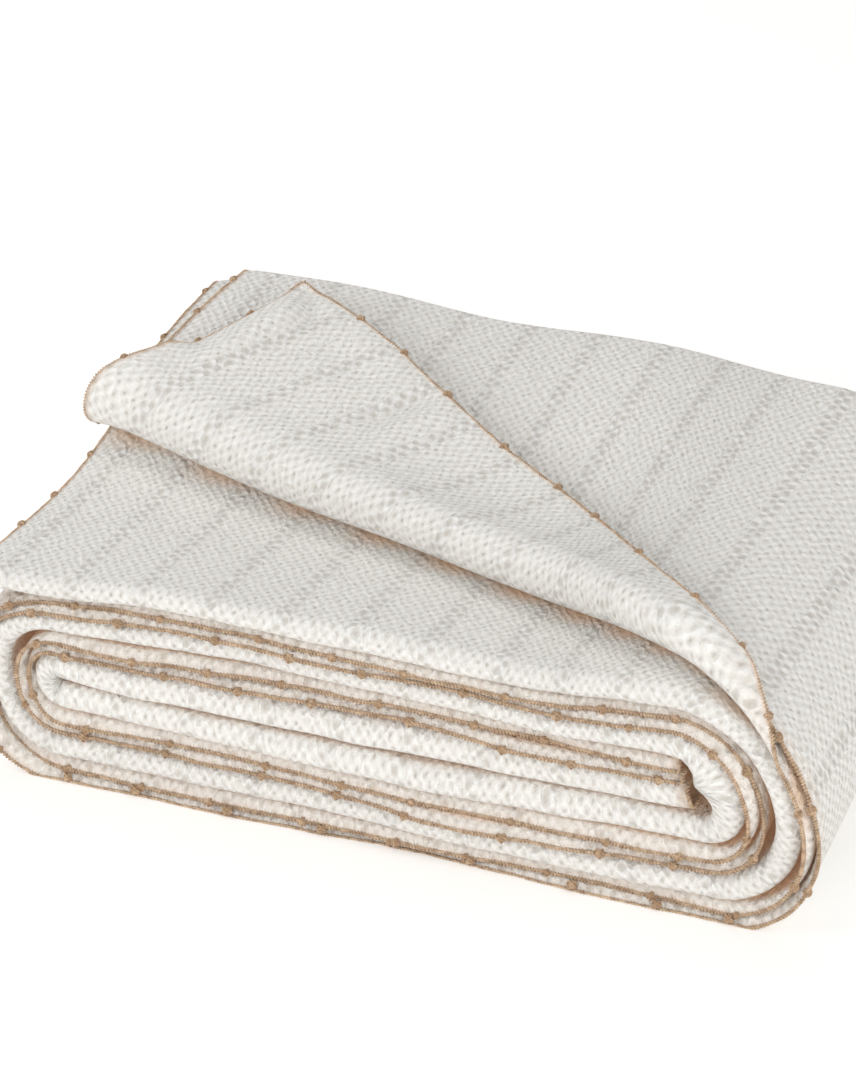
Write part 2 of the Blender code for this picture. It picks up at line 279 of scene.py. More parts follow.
def linear(hex_colour):
    """Linear red, green and blue of an sRGB hex colour."""
    parts = [int(hex_colour[i : i + 2], 16) / 255 for i in (1, 3, 5)]
    return tuple(v / 12.92 if v <= 0.04045 else ((v + 0.055) / 1.055) ** 2.4 for v in parts)


def ease(value):
    """Step from 0 to 1 with soft ends: three t squared less two t cubed."""
    t = np.clip(value, 0.0, 1.0)
    return t * t * (3.0 - 2.0 * t)


def unit(vectors):
    """Vectors of length one."""
    return vectors / np.linalg.norm(vectors, axis=-1, keepdims=True)


def uneven(along, step, phase):
    """Hand-made unevenness of about unit size: four sines whose lengths don't divide each other."""
    waves = ((1.0, 0.0, 0.5), (1.73, 1.1, 0.3), (2.91, 2.6, 0.25), (0.47, 4.0, 0.45))
    return sum(size * np.sin(along * rate / step + shift + phase) for rate, shift, size in waves)


def on_hem(layer):
    """Whether points lie on one of the two layers that end in hems."""
    return (layer == 1) | (layer == 2)


def roll_point(along, offset):
    """x and z at a length along the strip's middle and an offset outward.

    Straight runs lie at their level; each turn is half a circle about its centre.
    """
    x = np.zeros(np.shape(along))
    z = np.zeros(np.shape(along))
    for row, (kind, level, size, _) in enumerate(PATH):
        last = row + 1 == len(PATH)
        inside = ((along >= PATH_STARTS[row]) | (row == 0)) & ((along < PATH_STARTS[row + 1]) | last)
        run = along[inside] - PATH_STARTS[row]
        out = offset[inside]
        if kind == "left":
            first = INNER_END if row == 0 else ROLL_RIGHT
            x[inside], z[inside] = first - run, level + out
        elif kind == "right":
            x[inside], z[inside] = ROLL_LEFT + run, level - out
        else:
            side = 1.0 if kind == "right_turn" else -1.0
            centre = ROLL_RIGHT if side > 0 else (TOP_LEFT if last else ROLL_LEFT)
            x[inside] = centre + side * (size + out) * np.sin(run / size)
            z[inside] = level - side * (size + out) * np.cos(run / size)
    return x, z


def spread_to_along(spread):
    """Length along the strip's middle for a place x on the top ply laid out flat."""
    on_turn = TOP_START - (spread - ROLL_RIGHT) * 2.0 * PLY_PITCH / PAIR_RADIUS
    on_top = TOP_START + ROLL_RIGHT - spread
    past = TOP_START + ROLL_RIGHT - TOP_LEFT + (TOP_LEFT - spread) * 2.5 * PLY_PITCH / END_RADIUS
    return np.where(spread > ROLL_RIGHT, on_turn, np.where(spread < TOP_LEFT, past, on_top))


def flap_radius(spread):
    """Radius of the soft roll, fuller toward the strip's free end."""
    fuller = FLAP_RADIUS_LEFT - FLAP_RADIUS_RIGHT
    return FLAP_RADIUS_RIGHT + fuller * ease((FLAP_FULLER_FROM - spread) / FLAP_FULLER_RUN)


def fold_y(spread):
    """y of the slanting fold line; it dips toward the hem at the roll's right end."""
    dip = FLAP_DIP * (np.maximum(spread - FLAP_DIP_X, 0.0) / FLAP_DIP_RUN) ** 2
    return (FLAP_HINGE_X - spread) * math.tan(FLAP_ANGLE) - dip


def flap_start_y(spread):
    """y at which the top pair of layers starts to lift into the roll."""
    return fold_y(spread) + math.pi / 2 * flap_radius(spread) / math.cos(FLAP_ANGLE)


def lay_back(spread, y, offset):
    """Bend the top pair about the slanting line: a circle up and over, then a flat run back.

    Also gives how far past the roll a point lies, 0 where it isn't laid back.
    """
    radius = flap_radius(spread)
    sin_a, cos_a = math.sin(FLAP_ANGLE), math.cos(FLAP_ANGLE)
    ahead = (fold_y(spread) - y) * cos_a + math.pi / 2 * radius
    bend = np.clip(ahead, 0.0, (math.pi + FLAP_TUCK) * radius) / radius
    after = np.maximum(ahead - (math.pi + FLAP_TUCK) * radius, 0.0)
    settle_run = np.maximum((radius * (1.0 + math.cos(FLAP_TUCK)) - FLAP_REST) / FLAP_TUCK, 1.0)
    faded = 1.0 - np.exp(-after / settle_run)
    in_plane = np.minimum(ahead, 0.0) + radius * np.sin(bend) - after
    height = radius * (1.0 - np.cos(bend)) - FLAP_TUCK * settle_run * faded
    lean = np.where(after > 0.0, math.pi + FLAP_TUCK * (1.0 - faded), bend)
    shift = in_plane - np.sin(lean) * offset - ahead
    height = height + np.cos(lean) * offset
    return spread - sin_a * shift, y - cos_a * shift, height, after


def settle(x, y, z):
    """Slump, sag and slow waves of soft cloth; the changes in height fade to nothing at the floor."""
    full = np.maximum(z - 0.5 * LAYER_PITCH, 0.0) / FULL_HEIGHT
    front = 1.0 - ease(y / 240.0)
    left = ease((-10.0 - x) / 110.0)
    right_end = ease((x - 150.0) / 130.0)
    slumped = x - (SLUMP - 0.08 * y / STRIP_DEPTH) * (z - 78.0) * right_end
    wave = LONG_WAVE * np.sin(x / 41.0 + 0.4) * np.cos(y / 90.0)
    wave = wave + SHORT_WAVE * np.sin(x / 29.0 + z / 38.0 + y / 70.0)
    core = front * (MIDDLE_LIFT * np.exp(-(((z - 98.0) / 36.0) ** 2)) + 3.0 * full)
    core = core + front * left * LEFT_LIFT * np.exp(-(((z - 82.0) / 34.0) ** 2))
    back_rise = BACK_RISE * ease((y - 140.0) / 190.0) * (1.0 - ease((x - 60.0) / 240.0))
    valley = VALLEY * np.exp(-(((y - 140.0) / 85.0) ** 2)) * (1.0 - ease((x - 60.0) / 260.0))
    droop = LEFT_DROOP * front * ease((-30.0 - x) / 120.0)
    lifted = z + core * ease(6.0 * full) + full * (back_rise + full * valley + full * droop + wave)
    push_front = FRONT_PUSH * (1.0 - ease(y / 160.0)) * np.sin(z / 14.0 + x / 70.0)
    belly = BELLY * (1.0 - ease(y / 200.0))
    belly = belly * np.exp(-(((x - 110.0) / 150.0) ** 2) - (z / 60.0) ** 2)
    push_back = BACK_PUSH * ease((y - 230.0) / 120.0) * np.sin(x / 60.0 + z / 40.0)
    return slumped, y + push_front + belly + push_back, lifted


def line_place(x, y, start_x, start_y, end_x, end_y):
    """Share along a line, and distance to its left, of places x, y."""
    run_x, run_y = end_x - start_x, end_y - start_y
    length = math.hypot(run_x, run_y)
    share = ((x - start_x) * run_x + (y - start_y) * run_y) / length**2
    beside = ((y - start_y) * run_x - (x - start_x) * run_y) / length
    return share, beside


def crease_height(x, y, after, layer):
    """Height of the laid-back corner's creases: soft ridges and troughs, and its curled end."""
    total = np.zeros(x.shape)
    for start_x, start_y, end_x, end_y, width, height in CREASES:
        share, beside = line_place(x, y, start_x, start_y, end_x, end_y)
        ends = ease((share + 0.25) / 0.5) * ease((1.25 - share) / 0.5)
        total += height * ends * np.exp(-((beside / width) ** 2))
    start_x, start_y, end_x, end_y, fade, drop = END_CURL
    share, beside = line_place(x, y, start_x, start_y, end_x, end_y)
    ends = ease(share / 0.2) * ease((1.05 - share) / 0.2)
    drop = np.where(layer == 2, drop + UPPER_DROP, drop)
    total -= drop * ends * ease(0.5 + beside / (2.0 * fade))
    return total * ease(after / 12.0)


def hem_rows(spread):
    """y of the rows on a hem layer, a row of them for each place: flap, roll and run back."""
    plain = 30.0 + 70.0 * ease((spread - 400.0) / 150.0)
    begin = np.maximum(flap_start_y(spread), plain)[:, None]
    roll = math.pi * flap_radius(spread)[:, None] / math.cos(FLAP_ANGLE)
    roll = np.minimum(roll, 0.67 * begin)
    flap_share = np.linspace(0.0, 1.0, FLAP_ROWS, endpoint=False)
    roll_share = np.linspace(0.0, 1.0, ROLL_ROWS, endpoint=False)
    back_share = np.linspace(0.0, 1.0, BACK_ROWS)
    on_flap = (begin - roll) * flap_share**1.35
    on_roll = begin - roll * (1.0 - roll_share)
    on_back = begin + (BACK_Y - begin) * back_share
    return np.hstack([on_flap, on_roll, on_back])


def half_circle(centre_y, centre_o, radius, first, last, rows):
    """Points inside a half turn in the y and offset plane, ends left out."""
    angle = np.radians(np.linspace(first, last, rows + 2)[1:-1])
    return centre_y + radius * np.cos(angle), centre_o + radius * np.sin(angle)


def sections(spread):
    """Back-and-forth section of four layers at each place: y, outward offset, layer numbers.

    Layers 1 and 2 end in hems; 4 and 3 join in the rounded front fold; 0 is a fold.
    """
    count = len(spread)
    hem = hem_rows(spread)
    first = np.full(hem.shape, 1.5 * LAYER_PITCH)
    second = np.full(hem.shape, 0.5 * LAYER_PITCH)
    puff = INNER_PUFF + (TOP_PUFF - INNER_PUFF) * ease((230.0 - spread) / 120.0)[:, None]
    low = -1.5 * LAYER_PITCH
    third_y = FRONT_Y + (BACK_Y - FRONT_Y) * np.linspace(0.0, 1.0, THIRD_LAYER_ROWS) ** 1.4
    third_y = np.tile(third_y, (count, 1))
    third = -0.5 * LAYER_PITCH + (1.2 + puff) * np.exp(-(third_y - FRONT_Y) / 45.0)
    fourth_y = BACK_Y - (BACK_Y - FRONT_Y) * np.linspace(0.0, 1.0, FOURTH_LAYER_ROWS) ** 0.6
    fourth_y = np.tile(fourth_y, (count, 1))
    outer_y, outer_o = half_circle(BACK_Y, 0.0, BACK_RADIUS, 90.0, -90.0, OUTER_TURN_ROWS)
    inner_y, inner_o = half_circle(BACK_Y, 0.0, 0.5 * LAYER_PITCH, -90.0, 90.0, INNER_TURN_ROWS)
    fold_radius = (third[:, :1] - low) / 2
    front_y, front_o = half_circle(0.0, 0.0, 1.0, -90.0, -270.0, FRONT_FOLD_ROWS)
    front_y = FRONT_Y + fold_radius * front_y
    front_o = low + fold_radius + fold_radius * front_o
    parts = (
        (hem, first, 1),
        (np.tile(outer_y, (count, 1)), np.tile(outer_o, (count, 1)), 0),
        (fourth_y, np.full(fourth_y.shape, low), 4),
        (front_y, front_o, 0),
        (third_y, third, 3),
        (np.tile(inner_y, (count, 1)), np.tile(inner_o, (count, 1)), 0),
        (hem[:, ::-1], second, 2),
    )
    y = np.hstack([part[0] for part in parts])
    offset = np.hstack([part[1] for part in parts])
    layer = np.concatenate([np.full(part[0].shape[1], part[2]) for part in parts])
    return y, offset, layer


def column_places():
    """Places along the strip: lengths before the top ply, then shares of the top ply."""
    lead = []
    for row, (_, _, _, step) in enumerate(PATH[:8]):
        start = PATH_STARTS[row] - (INNER_REACH if row == 0 else 0.0)
        count = max(1, round(PATH_LENGTHS[row] / step))
        lead.append(np.linspace(start, PATH_STARTS[row + 1], count, endpoint=False))
    top_length = ROLL_RIGHT - OUTER_END_FOLD
    shares = np.linspace(0.0, 1.0, round(top_length / PATH[8][3]) + 1)
    return np.concatenate(lead), shares


def top_spread(share, y, offset, layer):
    """Place on the top ply laid flat; the free end is cut a little askew and its top layer,
    round the back turn too, ends short of the others."""
    front_end = np.where(on_hem(layer), OUTER_END_HEM, OUTER_END_FOLD)
    front_end = front_end + np.where(layer == 2, SECOND_HEM_SHORT, 0.0)
    outer_turn = (layer == 0) & (y > BACK_Y) & (np.hypot(y - BACK_Y, offset) > LAYER_PITCH)
    short = np.where((layer == 1) | outer_turn, ease((offset + BACK_RADIUS) / (2 * BACK_RADIUS)), 0.0)
    back_end = OUTER_END_BACK + TOP_LAYER_SET_BACK * short
    end = back_end + (front_end - back_end) * (1.0 - y / STRIP_DEPTH)
    return ROLL_RIGHT + share * (end - ROLL_RIGHT)


def edge_wander(along, y, layer, offset):
    """How far the front edges stray: the hems most, the rounded fold a little."""
    slow = HEM_STRAY * np.sin(along / 63.0 + offset) + 1.3 * np.sin(along / 29.0 + 2.0 * offset)
    quick = HEM_QUICK_STRAY * uneven(along, 13.0, 2.0 * layer)
    fold = FOLD_STRAY * uneven(along, 38.0, 1.0)
    near_front = 1.0 - ease(y / 60.0)
    return near_front * np.where(on_hem(layer), slow + quick, fold)


def rest_hems(along, y, offset, layer):
    """Near the front the two hem layers close the gap between the folds above and below them:
    they puff up against the fold above, then drop to their edges, the lower one further out.

    Facing is 1 where the strip's outward side faces up, -1 where it faces down, 0 on a turn.
    """
    (inner_x, inner_z), (outer_x, outer_z) = (roll_point(along, offset + k) for k in (0.0, 1.0))
    facing, sideways = outer_z - inner_z, outer_x - inner_x
    upper = np.where(layer == 1, facing, -facing)
    edge = (UPPER_HEM + LOWER_HEM) / 2 + upper * (UPPER_HEM - LOWER_HEM) / 2 + HEM_SHIFT * facing
    puff = HEM_PUFF + HEM_SHIFT * facing
    back_from_edge = np.exp(-y / HEM_PUFF_REACH)
    at_edge = np.exp(-((y / HEM_EDGE_REACH) ** 2))
    lift = puff * back_from_edge + (edge - puff) * at_edge
    before_flap = ease((TOP_START - HEM_RETURN - along) / HEM_RETURN)
    hem_layer = on_hem(layer)
    step = HEM_STEP * upper + np.where(layer == 1, TURN_STEP, -TURN_STEP) * sideways
    step = np.where(hem_layer, step * (1.0 - ease(y / HEM_RETURN)), 0.0)
    side = np.where(layer == 2, 1.0, -1.0)
    leads = side * np.maximum(side * sideways, 0.0) ** 0.7
    # just before the outer turn runs into the top ply, the second hem layer puffs up fully
    last = ease((along - TOP_START + 130.0) / 60.0) * ease((TOP_START + 50.0 - along) / 60.0)
    leads = leads + (1.0 - leads) * last * (layer == 2)
    puffed = TURN_PUFF * leads * (back_from_edge - at_edge)
    moved = np.where(hem_layer, (lift * facing + puffed) * before_flap, 0.0)
    turn_middle = (PATH_STARTS[3] + PATH_STARTS[4]) / 2 + CORE_RISE
    reach = ((along - turn_middle) / CORE_REACH) ** 2 + (y / CORE_DEPTH) ** 2
    closed = CREASE_FILL * np.exp(-y / CREASE_DEPTH) * ease((PATH_STARTS[3] - along) / 60.0)
    fill = (CORE_FILL * np.exp(-reach) + closed) * ease((-0.5 * LAYER_PITCH - offset) / LAYER_PITCH)
    return y + step, offset + moved - fill


def folded_cloth():
    """Middle surface of the folded cloth as a grid of columns along it and rows across it.

    Gives points in millimetres, each point's place on the flat cloth along and across, and
    how much painted warm shade it gets from lying deep between the layers.
    """
    lead, shares = column_places()
    lead_spread = ROLL_RIGHT + (TOP_START - lead) * PAIR_RADIUS / (2.0 * PLY_PITCH)
    top_nominal = ROLL_RIGHT + shares * (OUTER_END_FOLD - ROLL_RIGHT)
    flat_y, offset, layer = sections(np.concatenate([lead_spread, top_nominal]))
    layer = np.tile(layer, (len(flat_y), 1))
    count = len(lead)
    spread = np.tile(np.concatenate([lead_spread, top_nominal])[:, None], (1, flat_y.shape[1]))
    spread[count:] = top_spread(shares[:, None], flat_y[count:], offset[count:], layer[count:])
    along = spread_to_along(spread)
    across = np.cumsum(np.hypot(np.diff(flat_y, axis=1), np.diff(offset, axis=1)), axis=1)
    across = np.hstack([np.zeros((len(across), 1)), across])
    y, lifted = rest_hems(along, flat_y, offset, layer)
    y = y + edge_wander(along, flat_y, layer, offset)
    near_front = np.exp(-flat_y / 22.0)
    shared, own = uneven(along, 21.0, 0.0), uneven(along, 15.0, 1.7 * layer)
    offset = lifted + near_front * (0.8 * shared + 0.2 * own)
    x, z = roll_point(along, offset)
    bent_spread, bent_y, height, after = lay_back(spread, y, offset - PAIR_OFFSET)
    bent_x, bent_z = roll_point(spread_to_along(bent_spread), PAIR_OFFSET + height)
    hem_layer = on_hem(layer)
    bent_z = bent_z + crease_height(bent_x, bent_y, after, layer)
    x, y, z = (np.where(hem_layer, a, b) for a, b in ((bent_x, x), (bent_y, y), (bent_z, z)))
    x, y, z = settle(x, y, z)
    full = ease((z - 20.0) / 40.0)
    z = z + 0.35 * full * uneven(x + 0.6 * y, 24.0, 0.3) * uneven(y - 0.3 * x, 31.0, 1.9)
    points = np.stack([x - CENTRE_X, y - CENTRE_Y, z + FLOOR_SHIFT], axis=-1)
    return points, along, across, painted_shade_between_layers(points, along, layer, flat_y, spread)


def grid_faces(columns, rows, start=0):
    """Quads of a grid of points that stands column by column."""
    number = start + np.arange(columns * rows).reshape(columns, rows)
    corners = (number[:-1, :-1], number[:-1, 1:], number[1:, 1:], number[1:, :-1])
    return np.stack(corners, axis=-1).reshape(-1, 4)


def rim_order(columns, rows):
    """Numbers of a grid's edge points in order round it."""
    number = np.arange(columns * rows).reshape(columns, rows)
    return np.concatenate([number[:-1, 0], number[-1, :-1], number[:0:-1, -1], number[0, :0:-1]])


def surface_normals(points):
    """Normals of a grid of points, from its slopes along and across."""
    along = np.gradient(points, axis=0)
    across = np.gradient(points, axis=1)
    return unit(np.cross(across, along))


def thick_sheet(points, thick):
    """Closed sheet: the grid pushed half its thickness both ways, with a rounded rim."""
    columns, rows, _ = points.shape
    half = surface_normals(points) * (thick / 2)[..., None]
    total = columns * rows
    rim = rim_order(columns, rows)
    inner = points.copy()
    inner[0], inner[-1] = points[1], points[-2]
    inner[:, 0], inner[:, -1] = points[:, 1], points[:, -2]
    out = (points - inner).reshape(-1, 3)[rim]
    middle = points.reshape(-1, 3)[rim] + unit(out) * (0.3 * thick.reshape(-1)[rim])[:, None]
    top = (points + half).reshape(-1, 3)
    bottom = (points - half).reshape(-1, 3)
    upper = grid_faces(columns, rows)
    lower = grid_faces(columns, rows, total)[:, ::-1]
    ring = 2 * total + np.arange(len(rim))
    after, ring_after = np.roll(rim, -1), np.roll(ring, -1)
    edge_top = np.stack([rim, ring, ring_after, after], axis=-1)
    edge_bottom = np.stack([ring, total + rim, total + after, ring_after], axis=-1)
    faces = np.vstack([upper, lower, edge_top, edge_bottom])
    return np.vstack([top, bottom, middle]), faces, rim


def painted_shade_between_layers(points, along, layer, flat_y, spread):
    """Painted warm shade at each point, by how deep between the layers it lies: 0 outside, 1 where
    only warm, bounced light gets; shade is also painted under the laid-back corner's roll and near its
    end. The top ply's outer faces, the outer turns, the underside and the back count as outside."""
    count = points.shape[0]
    shade_and_stitch_share = ease((flat_y - PAINTED_SHADE_FROM) / PAINTED_SHADE_FADE)
    outer = ease((along - PATH_STARTS[5]) / 30.0) * (layer == 1)
    top_from = TOP_START - np.where(layer == 2, SECOND_LIT_LEAD, TOP_LIT_LEAD)
    top = ease((along - top_from) / 50.0) * (layer != 4)
    past_start = flat_y - flap_start_y(spread)
    from_end = ease((spread + 150.0) / 40.0)
    # painted shade under the laid-back roll on the third layer, and near the corner's end on the second
    shade_under_flap = ease((past_start + 14.0) / 12.0) * (layer == 3)
    shade_under_flap = shade_under_flap + ease((past_start - 3.0) / 12.0) * from_end * (layer == 2)
    back = ease((flat_y - BACK_Y + 20.0) / 20.0) * (layer != 2) * (layer != 3)
    shade_and_stitch_share = shade_and_stitch_share * (1.0 - np.maximum(np.maximum(outer, top), back))
    return np.maximum(shade_and_stitch_share, top * shade_under_flap).reshape(count, -1)


def make_piece(name, points, faces, places, material):
    """Object from points in millimetres, faces and each point's place in a map of millimetres."""
    mesh = bpy.data.meshes.new(name)
    points[:, 2] = np.maximum(points[:, 2], 0.0)
    mesh.from_pydata((points * MM).tolist(), [], faces.tolist())
    corners = np.zeros(len(mesh.loops), dtype=np.int32)
    mesh.loops.foreach_get("vertex_index", corners)
    layer = mesh.uv_layers.new(name="places")
    layer.uv.foreach_set("vector", places[corners].astype(np.float32).ravel())
    mesh.shade_smooth()
    mesh.materials.append(material)
    piece = bpy.data.objects.new(name, mesh)
    bpy.context.scene.collection.objects.link(piece)
    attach(piece, "root")
    return piece


def add_values(piece, name, values):
    """Keep a number with each point of a piece, for its material to read."""
    kept = piece.data.attributes.new(name, "FLOAT", "POINT")
    kept.data.foreach_set("value", values.astype(np.float32))


def colour_property(name, hex_colour, description):
    """Colour that a user can change, given as an sRGB hex value."""
    return bpy.props.FloatVectorProperty(
        name=name, description=description, default=(*linear(hex_colour), 1.0),
        size=4, min=0.0, max=1.0, subtype="COLOR",
    )


def add(tree, kind, links=None, **settings):
    """Add a node with its settings; links gives an input's value or what feeds it."""
    made = tree.nodes.new(kind)
    for name, value in settings.items():
        setattr(made, name, value)
    for socket, value in (links or {}).items():
        if isinstance(value, bpy.types.Node):
            value = value.outputs[0]
        if isinstance(value, bpy.types.NodeSocket):
            tree.links.new(value, made.inputs[socket])
        else:
            made.inputs[socket].default_value = value
    return made


def new_material(name):
    """Empty node material: its tree and its output node."""
    material = bpy.data.materials.new(name)
    material.use_nodes = True
    material.node_tree.nodes.clear()
    output = add(material.node_tree, "ShaderNodeOutputMaterial")
    return material, material.node_tree, output


def add_steps(tree, made, steps):
    """Add the sums of a formula: each step is a name, an operation and what it works on."""
    for name, operation, *parts in steps:
        links = {place: made.get(part, part) for place, part in enumerate(parts)}
        made[name] = add(tree, "ShaderNodeMath", links, operation=operation)
    return made


def woven_cotton(settings):
    """Chunky woven cotton: matt off-white yarn, staggered bumps with small pits between them, and
    every few centimetres a stripe of two columns of fatter bumps. Shade is painted into the colour low
    between the bumps and in the pits, and warm painted shade with a painted glow deep between the
    layers."""
    material, tree, output = new_material("woven_cotton")
    places = add(tree, "ShaderNodeUVMap", uv_map="places")
    parts = add(tree, "ShaderNodeSeparateXYZ", {0: places})
    wobble = add(tree, "ShaderNodeTexNoise", {0: places, "Scale": STRAY_SCALE, "Detail": 2.0})
    wobble_parts = add(tree, "ShaderNodeSeparateColor", {0: wobble.outputs["Color"]})
    stretched = add(tree, "ShaderNodeMapping", {0: places, "Scale": SLUB_SCALE})
    slub = add(tree, "ShaderNodeTexNoise", {0: stretched, "Scale": 1.0, "Detail": 2.0})
    clump = add(tree, "ShaderNodeTexNoise", {0: places, "Scale": CLUMP_SCALE, "Detail": 1.0})
    grain = add(tree, "ShaderNodeTexNoise", {0: places, "Scale": GRAIN_SCALE, "Detail": 1.0})
    fine = add(tree, "ShaderNodeMapping", {0: places, "Scale": STRAND_SCALE})
    strands = add(tree, "ShaderNodeTexNoise", {0: fine, "Scale": 1.0, "Detail": 2.0})
    fuzz = add(tree, "ShaderNodeTexNoise", {0: places, "Scale": FUZZ_SCALE, "Detail": 3.0})
    column = settings.column_pitch * MM_IN_METRE
    bump = settings.bump_pitch * MM_IN_METRE
    stripe = settings.stripe_pitch * MM_IN_METRE
    made = {
        "along": parts.outputs[0],
        "across": parts.outputs[1],
        "wobble_a": wobble_parts.outputs[0],
        "wobble_b": wobble_parts.outputs[1],
        "slub": slub.outputs[0],
        "clump": clump.outputs[0],
        "grain": grain.outputs[0],
        "strands": strands.outputs[0],
        "fuzz": fuzz.outputs[0],
    }
    made = add_steps(tree, made, (
        ("shift_a", "MULTIPLY_ADD", "wobble_a", STRAY_ALONG, -STRAY_ALONG / 2),
        ("shift_b", "MULTIPLY_ADD", "wobble_b", STRAY_ACROSS, -STRAY_ACROSS / 2),
        ("skewed", "MULTIPLY_ADD", "across", STRIPE_SKEW, "along"),
        ("u", "ADD", "skewed", "shift_a"),
        ("v", "ADD", "across", "shift_b"),
        ("column_turn", "MULTIPLY", "u", math.pi / column),
        ("bump_turn", "MULTIPLY", "v", math.pi / bump),
        ("column_wave", "COSINE", "column_turn"),
        ("bump_wave", "COSINE", "bump_turn"),
        ("lattice", "MULTIPLY", "column_wave", "bump_wave"),
        ("ground", "MULTIPLY_ADD", "lattice", 0.5, 0.5),
        ("ground_round", "POWER", "ground", 1.25),
        ("count", "MULTIPLY_ADD", "u", 1.0 / stripe, STRIPE_PHASE),
        ("share", "FRACT", "count"),
        ("signed", "SUBTRACT", "share", 0.5),
        ("beside", "MULTIPLY", "signed", stripe),
        ("distance", "ABSOLUTE", "beside"),
        ("fat_turn", "MULTIPLY", "beside", math.pi / STRIPE_COLUMN),
        ("fat_sine", "SINE", "fat_turn"),
        ("fat_bump_turn", "MULTIPLY", "v", math.pi / STRIPE_BUMP),
        ("fat_wave", "COSINE", "fat_bump_turn"),
        ("fat_lattice", "MULTIPLY", "fat_sine", "fat_wave"),
        ("fat_ground", "MULTIPLY_ADD", "fat_lattice", 0.5, 0.5),
        ("fat_round", "POWER", "fat_ground", 1.5),
        ("fat_high", "MULTIPLY_ADD", "fat_round", 2.0, -0.31),
        ("hollow", "SUBTRACT", 1.0, "ground"),
        ("pit", "POWER", "hollow", 6.0),
        ("fat_hollow", "SUBTRACT", 1.0, "fat_ground"),
        ("fat_pit", "POWER", "fat_hollow", 3.5),
    ))
    near = add(tree, "ShaderNodeMapRange", {0: made["distance"], 1: STRIPE_COLUMN * 1.3,
                                            2: STRIPE_COLUMN * 0.9, 3: 0.0, 4: 1.0},
               interpolation_type="SMOOTHSTEP")
    relief = add(tree, "ShaderNodeMix", {0: near, 2: made["ground_round"], 3: made["fat_high"]})
    pit = add(tree, "ShaderNodeMix", {0: near, 2: made["pit"], 3: made["fat_pit"]})
    some = add(tree, "ShaderNodeMapRange", {0: clump, 1: 0.4, 2: 0.68, 3: 0.05, 4: 0.7})
    pit_share = add(tree, "ShaderNodeMix", {0: near, 2: some, 3: 0.4})
    made.update(relief=relief, pit_depth=pit, pit_share=pit_share)
    made = add_steps(tree, made, (
        ("slub_gain", "MULTIPLY_ADD", "slub", 0.9, 0.35),
        ("clump_gain", "MULTIPLY_ADD", "clump", 0.8, 0.4),
        ("gain", "MULTIPLY", "slub_gain", "clump_gain"),
        ("grown", "MULTIPLY", "relief", "gain"),
        ("stranded", "MULTIPLY_ADD", "strands", 0.25, "grown"),
        ("grainy", "MULTIPLY_ADD", "grain", 0.6, "stranded"),
        ("height", "MULTIPLY_ADD", "fuzz", 0.4, "grainy"),
        ("shadow", "MULTIPLY", "pit_depth", "pit_share"),
    ))
    # painted shade: the yarn is painted darker where it lies low between the bumps, lightest on their
    # tops
    shade = add(tree, "ShaderNodeMapRange", {0: made["height"], 1: 0.5, 2: 1.25},
                interpolation_type="SMOOTHSTEP")
    yarn = add(tree, "ShaderNodeMix", {0: shade, 6: settings.low_shade_colour, 7: settings.yarn_colour},
               data_type="RGBA")
    # painted shade: the pits between the yarns are painted darker
    yarn = add(tree, "ShaderNodeMix", {0: made["shadow"], 6: yarn.outputs[2],
                                       7: settings.pit_shade_colour}, data_type="RGBA")
    # painted warm shade deep between the layers and under the laid-back corner, mixed at the edges with
    # the stitches' tan
    inside = add(tree, "ShaderNodeAttribute", attribute_name="inside")
    colour = add(tree, "ShaderNodeMix", {0: inside.outputs["Fac"], 6: yarn.outputs[2],
                                         7: settings.shade_and_stitch_colour}, data_type="RGBA")
    # painted glow: the shaded parts give off a little warm light of their own
    painted_glow_strength = add(tree, "ShaderNodeMath", {0: inside.outputs["Fac"], 1: settings.painted_glow},
                 operation="MULTIPLY")
    lift = add(tree, "ShaderNodeBump", {"Strength": 1.0, "Distance": settings.bump_height,
                                        "Height": made["height"]})
    shader = add(tree, "ShaderNodeBsdfPrincipled", {
        "Base Color": colour.outputs[2], "Roughness": 0.92, "Normal": lift,
        "Sheen Weight": 0.12, "Sheen Roughness": 0.5, "Specular IOR Level": 0.25,
        "Emission Color": settings.shade_and_stitch_colour, "Emission Strength": painted_glow_strength,
    })
    add_links(tree, output, shader)
    return material


def add_links(tree, output, shader):
    """Join a shader to the material's output."""
    tree.links.new(shader.outputs[0], output.inputs["Surface"])


